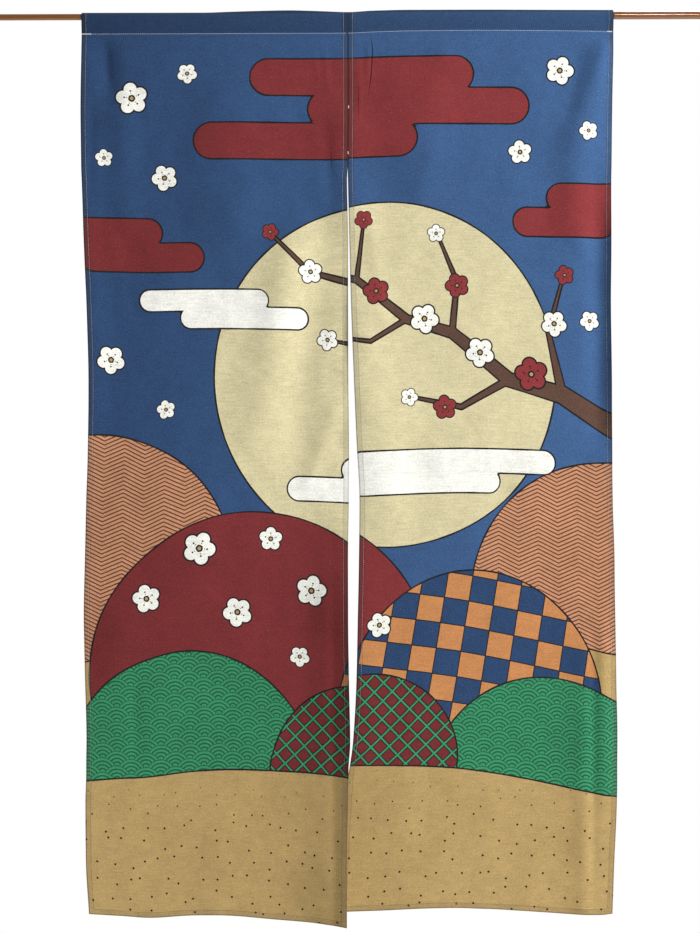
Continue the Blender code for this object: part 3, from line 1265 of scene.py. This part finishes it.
@dataclass
class Panel:
    """One cloth panel: a single sheet folded round its hems and over the rod."""

    side: Side
    finish: PrintedCotton
    width: float = 435 * MM
    thickness: float = 0.6 * MM
    pitch: float = 0.65 * MM
    side_hem: float = 8.2 * MM
    foot_hem: float = 8.6 * MM
    hem_middle: float = 0.45
    by_edge: tuple[float, ...] = (2 * MM, 4.4 * MM)
    past_side_hem: tuple[float, ...] = (8.8 * MM, 10.6 * MM)
    past_foot_hem: tuple[float, ...] = (9.4 * MM,)
    bulk_by_edge: tuple[float, ...] = (1, 1, 1, 0.85, 0.15)
    step_in: float = 3 * MM
    step_down: float = 5 * MM
    stitching_row: float = 1.2 * MM
    sewn_edge: float = 3.5 * MM
    face: float = 1.2 * MM
    back: float = 0.1 * MM
    pocket_radius: float = 5.8 * MM
    foot_flat: float = 1470 * MM
    stitching_flat: float = 25.4 * MM
    fold_start: float = 34 * MM
    middle_columns: int = 98
    body_rows: int = 340
    bend_steps: int = 6
    flank_steps: int = 8
    arch_steps: int = 17
    ripple_seed: int = 11
    ripple_count: int = 24
    ripple_height: float = 0.16 * MM
    ripple_lengths: tuple[float, float] = (45, 170)
    ripple_middle: float = 90 * MM
    pack_rise: float = 1.1 * MM
    pack_reach: float = 28 * MM
    tail_steps: int = 4
    crisp: float = 70

    @property
    def name(self) -> str:
        """The piece's name."""
        return f"cloth_panel_{self.side.value}"

    @property
    def node(self) -> str:
        """The solid that the panel stands for."""
        return f"panel_{self.side.value}"

    def edges(self, drop: np.ndarray) -> tuple[np.ndarray, np.ndarray]:
        """Follow the panel's left and right edges down.

        Args:
            drop: drops, in metres.

        Returns:
            Both edges' places across at these drops.
        """
        outline = columns(OUTLINE)
        places = outline[1:3] if self.side is LEFT else outline[3:5]
        left, right = (follow(outline.drop, place, drop) for place in places)
        return left, right

    def spread(self, cut: Across, drop: np.ndarray) -> np.ndarray:
        """Places across of the panel's columns at these drops."""
        left, right = self.edges(drop)
        return left * (1 - cut.share) + right * cut.share + cut.offset

    def turned_under(self, hem: float) -> np.ndarray:
        """Distances in from the bend of a hem's cut edge, stitching and middle."""
        stitching = self.finish.stitch_in - np.pi * self.pitch / 2
        return np.array([hem, stitching, self.hem_middle * hem])

    def ripples(self, across: np.ndarray, drop: np.ndarray) -> np.ndarray:
        """Faint uneven lie of pressed cloth: a sum of plane waves 45 to 170 mm long.

        Args:
            across: places across, in metres.
            drop: drops, in metres.

        Returns:
            The height at each place, in metres.
        """
        chance = np.random.default_rng(self.ripple_seed)
        total = np.zeros(np.broadcast(across, drop).shape)
        for _ in range(self.ripple_count):
            length = chance.uniform(*self.ripple_lengths) * MM
            heading, phase = chance.uniform(0, np.pi), chance.uniform(0, 2 * np.pi)
            wave = (across * np.cos(heading) + drop * np.sin(heading)) / length
            height = self.ripple_height * length / self.ripple_middle
            total += height * np.sin(2 * np.pi * wave + phase)
        return total

    def packing(self, drop: np.ndarray) -> np.ndarray:
        """Lines where the cloth was folded to be packed, by turns a low roof and a low gutter.

        Args:
            drop: drops, in metres.

        Returns:
            The height at each drop, in metres.
        """
        turn = (drop - self.finish.pack_start) / self.finish.pack_fold
        line = np.round(turn)
        away = np.abs(turn - line) * self.finish.pack_fold
        return self.pack_rise * (1 - 2 * (line % 2)) * np.exp(-away / self.pack_reach)

    def face_depth(self, across: np.ndarray, drop: np.ndarray, sewn: np.ndarray) -> np.ndarray:
        """Depth of the printed face below the pocket.

        Args:
            across: places across, in metres.
            drop: drops, in metres.
            sewn: the drop of the pocket's stitching there.

        Returns:
            Y of the face at each place.
        """
        height = folded(FOLDS, self.side, across, drop)
        height += folded(CREASES, self.side, across, drop)
        height += self.ripples(across, drop) + self.packing(drop)
        return -self.face - height * ease((drop - sewn) / self.fold_start)

    def columns_across(self) -> Across:
        """The panel's columns: hem, half-round bend, face, bend and hem.

        Round a bend the layer goes by the turn's cosine and the offset by its sine.

        Returns:
            The columns.
        """
        radius = self.pitch / 2
        hem = self.turned_under(self.side_hem)
        bend = np.linspace(np.pi, 0, self.bend_steps)
        near = np.array([*self.by_edge, self.finish.stitch_in, *self.past_side_hem])
        inset = near[-1] + self.step_in
        part = np.linspace(0, 1, self.middle_columns + 1)
        offset = np.concatenate([radius + hem, radius - radius * np.sin(bend), near])
        layer = np.concatenate([hem * 0 + 1, (1 - np.cos(bend)) / 2, near * 0])
        bulk = np.concatenate([hem * 0 + 1, bend * 0 + 1, self.bulk_by_edge])
        flat = np.concatenate([radius - np.pi * radius - hem, radius - radius * bend, near])
        none = np.zeros(len(part))
        middle_flat = inset + (self.width - 2 * inset) * part
        return Across(
            np.concatenate([np.zeros(len(offset)), part, np.ones(len(offset))]),
            np.concatenate([offset, inset * (1 - 2 * part), -offset[::-1]]),
            np.concatenate([layer, none, layer[::-1]]),
            np.concatenate([bulk, none, bulk[::-1]]),
            np.concatenate([flat, middle_flat, (self.width - flat)[::-1]]),
        )

    def body(self, cut: Across, sewn: np.ndarray, foot: np.ndarray) -> tuple[np.ndarray, ...]:
        """The foot's hem and bend and the hanging part, from the cut edge up to the stitching.

        Below its hem the sheet turns a half circle: drop is the circle's middle plus the sine
        of the turn, and depth goes by the cosine. At the corners it turns round four layers.

        Args:
            cut: the panel's columns.
            sewn: the stitching's drop at each column.
            foot: the foot's drop at each column.

        Returns:
            Points, rows by columns, and each row's flat drop.
        """
        radius = self.pitch / 2
        hem = self.turned_under(self.foot_hem)
        bend = np.linspace(np.pi, 0, self.bend_steps)
        near = np.array([*self.by_edge, self.finish.stitch_in, *self.past_foot_hem])
        part = np.linspace(0, 1, self.body_rows + 1)[:, None]
        low, high = foot - near[-1] - self.step_in, sewn + self.step_down
        middle = foot - radius * (1 + 2 * cut.bulk)
        turned = 1 + 2 * cut.bulk - cut.layer * cut.bulk
        arc = radius * (turned - cut.layer)
        drop = np.concatenate(
            [
                middle - hem[:, None],
                middle + arc * np.sin(bend)[:, None],
                foot - near[:, None],
                low + (high - low) * part,
                (sewn + self.stitching_row)[None, :],
            ]
        )
        behind = np.concatenate([hem * 0 + 1, (1 - np.cos(bend)) / 2])
        behind = np.pad(behind, (0, len(drop) - len(behind)))[:, None]
        layer = cut.layer * (1 - behind) + turned * behind
        across = self.spread(cut, drop)
        depth = self.face_depth(across, drop, sewn) + self.thickness / 2 + layer * self.pitch
        flat_low = self.foot_flat - near[-1] - self.step_in
        flat_high = self.stitching_flat + self.step_down
        flat = np.concatenate(
            [
                self.foot_flat + np.pi * radius + hem,
                self.foot_flat + radius * bend,
                self.foot_flat - near,
                (flat_low + (flat_high - flat_low) * part)[:, 0],
                [self.stitching_flat + self.stitching_row],
            ]
        )
        return np.stack([across, depth, -drop], axis=-1), flat

    def pocket(self, cut: Across, sewn: np.ndarray, crest: np.ndarray) -> np.ndarray:
        """The rod pocket, from the stitching in front, over the rod and down behind.

        A flank swings out from the stitching to the side of the rod in a quarter sine. The
        arch is a circle round the rod as far as the line that touches it and reaches the
        crest. Layers lie inside one another, and the pocket is wider over the hems.

        Args:
            cut: the panel's columns.
            sewn: the stitching's drop at each column.
            crest: the crest's height at each column.

        Returns:
            Points, rows by columns.
        """
        deep = self.thickness / 2 + cut.layer * self.pitch
        radius = self.pocket_radius + self.pitch * cut.bulk
        crest = np.maximum(crest, radius)
        back = self.back + 2 * self.pitch * cut.bulk
        flank = np.linspace(0, 1, self.flank_steps + 1)[:, None]
        swing = np.sin(flank * np.pi / 2)
        angle = np.linspace(0, np.pi, self.arch_steps)[1:-1, None]
        leaves = np.pi / 2 - np.arccos(np.clip(radius / crest, 0, 1))
        rise = np.pi / 2 - np.abs(angle - np.pi / 2)
        out = (radius - deep) / np.cos(np.maximum(rise - leaves, 0))
        tail = np.linspace(0, self.sewn_edge, self.tail_steps)[1:, None]
        depth = np.concatenate(
            [
                -(self.face - deep + (radius - self.face) * swing),
                -out * np.cos(angle),
                (back - deep + (radius - back) * swing)[::-1],
                back - deep + 0 * tail,
            ]
        )
        height = np.concatenate(
            [
                -sewn * (1 - flank),
                out * np.sin(angle),
                (-sewn * (1 - flank))[::-1],
                -sewn - tail,
            ]
        )
        across = np.broadcast_to(self.spread(cut, sewn), depth.shape)
        return np.stack([across, depth, height], axis=-1)

    def shell(self) -> Shell:
        """The whole sheet as two faces, half a thickness to each side of its middle.

        The normal is the cross product of the grid's own directions. The flat drop goes on
        over the pocket by the mean length of each step.

        Returns:
            The sheet's faces and flat places.
        """
        cut = self.columns_across()
        foot_table = columns(LEFT_FOOT if self.side is LEFT else RIGHT_FOOT)
        pocket_table = columns(POCKET)
        head, foot_at = (self.spread(cut, columns(OUTLINE).drop[row]) for row in (0, -1))
        sewn = follow(pocket_table.across, pocket_table.stitching, head)
        crest = follow(pocket_table.across, pocket_table.crest, head)
        foot = follow(foot_table.across, foot_table.drop, foot_at)
        body, body_flat = self.body(cut, sewn, foot)
        pocket = self.pocket(cut, sewn, crest)
        steps = np.linalg.norm(np.diff(pocket, axis=0), axis=-1).mean(axis=1)
        pocket_flat = self.stitching_flat - np.concatenate([[0], np.cumsum(steps)])
        middle = np.concatenate([body, pocket])
        down = np.concatenate([body_flat, pocket_flat])
        normal = np.cross(np.gradient(middle, axis=1), np.gradient(middle, axis=0))
        normal /= np.linalg.norm(normal, axis=-1, keepdims=True)
        shift = -self.width if self.side is LEFT else 0.0
        flat_across, flat_down = np.meshgrid(cut.flat + shift, down)
        from_side = np.minimum(np.abs(cut.flat), np.abs(self.width - cut.flat))
        from_foot = np.abs(down - self.foot_flat)
        return Shell(
            middle + normal * self.thickness / 2,
            middle - normal * self.thickness / 2,
            normal,
            np.stack([flat_across, -flat_down], axis=-1),
            self.stitching_flat - flat_down,
            np.minimum(from_side[None, :], from_foot[:, None]),
        )

    def build(self) -> Shell:
        """Returns:
            Its shell, for the sewing.
        """
        shell = self.shell()
        rows, count = shell.outer.shape[:2]
        outer = np.arange(rows * count).reshape(rows, count)
        inner = outer + rows * count
        rims = [
            np.stack([inner[0], outer[0]]),
            np.stack([outer[-1], inner[-1]]),
            np.stack([outer[:, 0], inner[:, 0]]),
            np.stack([inner[:, -1], outer[:, -1]]),
        ]
        printed = sheet_faces(outer)
        plain = np.concatenate([sheet_faces(inner)[:, ::-1], *(sheet_faces(rim) for rim in rims)])
        points = np.concatenate([shell.outer.reshape(-1, 3), shell.inner.reshape(-1, 3)])
        faces = np.concatenate([printed, plain])
        materials = [self.finish.material(face) for face in Face]
        piece = new_piece(self.name, points, faces.tolist(), materials)
        mesh = piece.data
        mesh.polygons.foreach_set("material_index", (np.arange(len(faces)) >= len(printed)) * 1)
        mesh.set_sharp_from_angle(angle=math.radians(self.crisp))
        flat = np.tile(shell.flat.reshape(-1, 2), (2, 1))
        across, drop = flat[:, 0], -flat[:, 1]
        places, red = self.finish.design.blossom_places(across, drop)
        values = {
            "above": np.tile(shell.above.ravel(), 2),
            "rim": np.tile(shell.rim.ravel(), 2),
            "red_bloom": red,
            **self.finish.design.distances(across, drop),
        }
        for name, value in values.items():
            mesh.attributes.new(name, "FLOAT", "POINT").data.foreach_set("value", value)
        attribute = mesh.attributes.new("blossom", "FLOAT_VECTOR", "POINT")
        attribute.data.foreach_set("vector", places.ravel())
        corner = np.empty(len(mesh.loops), dtype=np.int32)
        mesh.loops.foreach_get("vertex_index", corner)
        cloth_map = mesh.uv_layers.new(name=CLOTH_MAP)
        cloth_map.data.foreach_set("uv", flat[corner].ravel())
        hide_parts(self.node)
        return shell


# Sewing


@dataclass(frozen=True)
class Stitch:
    """One stitch's bead of thread: it rises from the cloth and dips back into it."""

    pitch: float = 3.5 * MM
    length: float = 3.1 * MM
    width: float = 0.38 * MM
    height: float = 0.36 * MM


@dataclass
class Sewing:
    """A panel's machine stitching: side hems, foot hem and pocket, on both faces."""

    side: Side
    panel: Panel
    shell: Shell
    thread: bpy.types.Material
    plain: Stitch = Stitch()
    corner: Stitch = Stitch(pitch=1.6 * MM, width=0.9 * MM, height=0.6 * MM)
    pocket: Stitch = Stitch(length=3.3 * MM, width=0.75 * MM, height=0.5 * MM)
    tack: Stitch = Stitch(pitch=1.2 * MM, length=3 * MM, width=1.9 * MM, height=0.9 * MM)
    tie: Stitch = Stitch(pitch=1.0 * MM, length=4.2 * MM, width=1.7 * MM, height=1.1 * MM)
    tie_drops: tuple[float, ...] = (149 * MM, 221 * MM)
    # Where stitches start and stop along a line, as sew takes them
    row_ends: tuple[float, float] = (1 * MM, -1 * MM)
    foot_ends: tuple[float, float] = (3 * MM, -2 * MM)
    corner_ends: tuple[float, float] = (2 * MM, 9 * MM)
    left_tack_ends: tuple[float, float] = (1 * MM, 15 * MM)
    right_tack_ends: tuple[float, float] = (1 * MM, 8 * MM)
    tie_ends: tuple[float, float] = (3 * MM, -3 * MM)
    rings: int = 4
    sides: int = 5
    sink: float = 0.9

    def bead(self) -> tuple[np.ndarray, np.ndarray, np.ndarray]:
        """One bead along X, from -1 to 1 each way.

        Its radius is the root of one less the square of the place along it, and its middle
        line sinks by that square.

        Returns:
            Its points, its quads and its end triangles.
        """
        along = np.cos(np.linspace(0, np.pi, self.rings + 2))[1:-1]
        body = carried_round(along, np.sqrt(1 - along**2), self.sides)
        body[..., 2] -= self.sink * along[:, None] ** 2
        tips = [[1, 0, -self.sink], [-1, 0, -self.sink]]
        numbers = np.arange(body.size // 3).reshape(self.rings, self.sides)
        around, tip = np.roll(numbers, -1, axis=1), np.full(self.sides, numbers.size)
        head = np.stack([around[0], numbers[0], tip], axis=-1)
        tail = np.stack([numbers[-1], around[-1], tip + 1], axis=-1)
        points = np.vstack([body.reshape(-1, 3), tips])
        return points, sheet_faces(numbers, closed=True), np.vstack([head, tail])

    def sew(
        self, row: int | slice, column: int | slice, stitch: Stitch, start: float, stop: float
    ) -> np.ndarray:
        """Beads at even steps along a row or a column of the printed face.

        Args:
            row: the face's row, or the rows that a column is sewn along.
            column: the face's column, or the columns that a row is sewn along.
            stitch: the stitch's sizes.
            start: distance along the line of the first stitch.
            stop: distance of the last one, from the line's end where it isn't above 0.

        Returns:
            The beads' points, stitches by points by three.
        """
        path, normal = self.shell.outer[row, column], self.shell.normal[row, column]
        steps = np.linalg.norm(np.diff(path, axis=0), axis=1)
        run = np.concatenate([[0], np.cumsum(steps)])
        at = np.arange(start, stop if stop > 0 else run[-1] + stop, stitch.pitch)

        def sample(values: np.ndarray, where: np.ndarray) -> np.ndarray:
            """Values at distances along the path."""
            return np.stack([np.interp(where, run, values[:, k]) for k in range(3)], axis=-1)

        middle, up = sample(path, at), sample(normal, at)
        half = stitch.length / 2
        along = sample(path, at + half) - sample(path, at - half)
        along /= np.linalg.norm(along, axis=1, keepdims=True)
        up -= along * np.sum(up * along, axis=1, keepdims=True)
        up /= np.linalg.norm(up, axis=1, keepdims=True)
        aside = np.cross(up, along)
        points = self.bead()[0]
        scaled = points * np.array([half, stitch.width / 2, stitch.height / 2])
        frames = np.stack([along, aside, up], axis=1)
        return middle[:, None, :] + np.einsum("pk,nkc->npc", scaled, frames)

    def lines(self) -> list[np.ndarray]:
        """Every line of stitching, front and back, with tacks where the lines end.

        Returns:
            The points of each line's beads.
        """
        panel = self.panel
        cut, inset = panel.columns_across(), panel.finish.stitch_in
        down = self.shell.flat[:, 0, 1]
        first, last = np.flatnonzero(cut.layer == 0)[[0, -1]]
        # Each row is sewn from both ends where it has tacks: forwards and backwards
        across = slice(first, last), slice(last - 1, first - 1, -1)
        foot_rows = [nearest(down, at - panel.foot_flat) for at in (inset, -inset)]
        found = []
        for at in (inset, -inset, panel.width - inset, panel.width + inset):
            column = nearest(cut.flat, at)
            found.append(self.sew(slice(foot_rows[0], None), column, self.plain, *self.row_ends))
        for row in foot_rows:
            found.append(self.sew(row, across[0], self.plain, *self.foot_ends))
            for way in across:
                found.append(self.sew(row, way, self.corner, *self.corner_ends))
        # The row behind that is sewn through, counted from the pocket's cut edge
        back = panel.tail_steps - 1
        left = self.side is LEFT
        way, ends = (across[0], self.left_tack_ends) if left else (across[1], self.right_tack_ends)
        for row in (nearest(down, -panel.stitching_flat - panel.stitching_row), len(down) - back):
            found.append(self.sew(row, across[0], self.pocket, *self.row_ends))
            found.append(self.sew(row, way, self.tack, *ends))
        if self.side is RIGHT:
            for drop in self.tie_drops:
                row = nearest(self.shell.outer[:, first, 2], -drop)
                near = slice(row - 1, row + 2)
                found.append(self.sew(near, first, self.tie, *self.tie_ends))
        return found

    def build(self) -> None:
        """Make the panel's sewing as one mesh of many beads of thread."""
        name, beads = f"sewing_{self.side.value}", np.concatenate(self.lines())
        points, quads, triangles = self.bead()
        first = np.arange(len(beads))[:, None, None] * len(points)
        faces = (quads + first).reshape(-1, 4).tolist()
        faces += (triangles + first).reshape(-1, 3).tolist()
        piece = new_piece(name, beads.reshape(-1, 3), faces, [self.thread])
        LOG.info("%s: %d stitches", name, len(beads))


@dataclass
class Rod:
    """The round rod: a thin tube that slides into a wider one, with their edges eased."""

    finish: BrownEnamel
    radius: float = 5 * MM
    wide_radius: float = 6.1 * MM
    wide_from: float = 431.4 * MM
    half_length: float = 600 * MM
    eased: float = 0.5 * MM
    sides: int = 64
    bays: int = 24
    corner_steps: int = 4
    crisp: float = 50

    def build(self) -> None:
        """Make the rod by carrying its profile round the X axis.

        The profile runs along the thin tube, up the wide tube's eased end just outside the
        cloth, where that tube begins on the right, and along the wide tube. A ring near each
        corner keeps the gloss straight between them.
        """
        turn = np.linspace(0, np.pi / 2, self.corner_steps)
        corner, edge = self.eased * (np.sin(turn) - 1), self.eased * (np.cos(turn) - 1)
        thin = np.linspace(-self.half_length + self.eased, self.wide_from, self.bays + 1)[1:]
        wide = np.array([self.wide_from + 2 * self.eased, self.half_length - 2 * self.eased])
        profile = (
            ((-self.half_length - corner)[::-1], (self.radius + edge)[::-1]),
            (thin, np.full(len(thin), self.radius)),
            ((self.wide_from - corner)[::-1], (self.wide_radius + edge)[::-1]),
            (wide, np.full(len(wide), self.wide_radius)),
            (self.half_length + corner, self.wide_radius + edge),
        )
        along, reach = (np.concatenate(parts) for parts in zip(*profile))
        body = carried_round(along, reach, self.sides).reshape(-1, 3)
        numbers = np.arange(len(body)).reshape(-1, self.sides)
        faces = sheet_faces(numbers, closed=True)[:, ::-1].tolist()
        caps = [numbers[0, ::-1].tolist(), numbers[-1].tolist()]
        piece = new_piece("enamelled_rod", body, faces + caps, [self.finish.material()])
        piece.data.set_sharp_from_angle(angle=math.radians(self.crisp))
        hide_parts("rod")
        LOG.info("enamelled_rod: %d faces", len(faces) + 2)


class Lamp(NamedTuple):
    """A square soft light, placed from the cloth's middle.

    Its bearing is in degrees to the right of the camera, its elevation in degrees up.
    """

    name: str
    bearing: float
    elevation: float
    distance: float
    size: float
    watts: float


@dataclass(frozen=True)
class Studio:
    """White background, pale floor and a raking key from the upper right that shows folds."""

    picture: tuple[int, int] = (700, 933)
    metres_per_pixel: float = 1.63 * MM
    distance: float = 4.0
    middle: tuple[float, float] = (-0.0004, -0.7337)
    roll: float = 0.0028
    sensor: float = 36.0
    ambient: float = 0.2
    lamps: tuple[Lamp, ...] = (
        Lamp("key", 60, 22, 6.5, 1.6, 530),
        Lamp("glint", 13, 27, 5.2, 0.4, 36),
        Lamp("fill", -42, 0, 5.0, 3.0, 14),
        Lamp("back", 150, 25, 5.0, 2.5, 260),
    )
    floor_radius: float = 3.1
    floor_height: float = -2.1
    floor_fade: float = 0.55
    floor_sides: int = 96
    paper: str = "#F4F3F0"

    def camera(self) -> None:
        """A camera square to the cloth, with the photograph's frame in the cloth's plane."""
        data = bpy.data.cameras.new("camera")
        data.sensor_width = self.sensor
        data.lens = self.sensor * self.distance / (self.picture[1] * self.metres_per_pixel)
        camera = bpy.data.objects.new("camera", data)
        camera.location = (self.middle[0], -self.distance, self.middle[1])
        camera.rotation_euler = (math.pi / 2, self.roll, 0)
        bpy.context.collection.objects.link(camera)
        bpy.context.scene.camera = camera

    def light(self, lamp: Lamp) -> None:
        """Add a lamp that looks at the cloth's middle.

        Args:
            lamp: the lamp.
        """
        data = bpy.data.lights.new(lamp.name, "AREA")
        data.size = lamp.size
        data.energy = lamp.watts
        light = bpy.data.objects.new(lamp.name, data)
        bearing, elevation = math.radians(lamp.bearing), math.radians(lamp.elevation)
        away = Vector(
            (
                math.sin(bearing) * math.cos(elevation),
                -math.cos(bearing) * math.cos(elevation),
                math.sin(elevation),
            )
        )
        light.location = Vector((self.middle[0], 0, self.middle[1])) + away * lamp.distance
        light.rotation_euler = away.to_track_quat("Z", "Y").to_euler()
        bpy.context.collection.objects.link(light)

    def world(self) -> None:
        """Plain white to the camera, and dimmer white as light from all round."""
        world = bpy.data.worlds.new("white studio")
        nodes = Nodes(world)
        seen = nodes.add("ShaderNodeLightPath", out="Is Camera Ray")
        strength = nodes.add(RANGE, seen, 0.0, 1.0, self.ambient, 1.0)
        glow = nodes.add("ShaderNodeBackground", (1, 1, 1, 1), strength)
        nodes.add("ShaderNodeOutputWorld", glow)
        bpy.context.scene.world = world

    def floor(self) -> None:
        """A pale round floor that fades out at its rim."""
        turn = np.linspace(0, 2 * np.pi, self.floor_sides, endpoint=False)
        rim = np.stack([np.cos(turn), np.sin(turn), 0 * turn], axis=-1) * self.floor_radius
        mesh = bpy.data.meshes.new("floor")
        mesh.from_pydata((rim + [0, 0, self.floor_height]).tolist(), [], [list(range(len(turn)))])
        floor = bpy.data.objects.new("floor", mesh)
        bpy.context.collection.objects.link(floor)
        material = bpy.data.materials.new("matt white paper")
        nodes = Nodes(material)
        place = nodes.add("ShaderNodeTexCoord", out="Object")
        flat = nodes.add(VECTOR, place, (1, 1, 0), operation="MULTIPLY")
        away = nodes.add(VECTOR, flat, out="Value", operation="LENGTH")
        fade = away, self.floor_fade * self.floor_radius, self.floor_radius, 1.0, 0.0
        shown = nodes.add(RANGE, *fade, interpolation_type="SMOOTHSTEP")
        surface = {"Base Color": linear(self.paper), "Roughness": 0.9, "Alpha": shown}
        nodes.add("ShaderNodeOutputMaterial", nodes.add("ShaderNodeBsdfPrincipled", named=surface))
        mesh.materials.append(material)

    def build(self) -> None:
        """Set up the view, the floor and the light."""
        self.camera()
        self.world()
        self.floor()
        for lamp in self.lamps:
            self.light(lamp)
        bpy.context.scene.view_settings.view_transform = "Standard"


def main() -> None:
    """Build the studio, the rod, the panels and their sewing."""
    logging.basicConfig(level=logging.INFO, format="%(message)s")
    Studio().build()
    Rod(BrownEnamel()).build()
    finish, thread = PrintedCotton(), SewingThread().material()
    for side in (LEFT, RIGHT):
        panel = Panel(side, finish)
        Sewing(side, panel, panel.build(), thread).build()


if __name__ == "__main__":
    main()
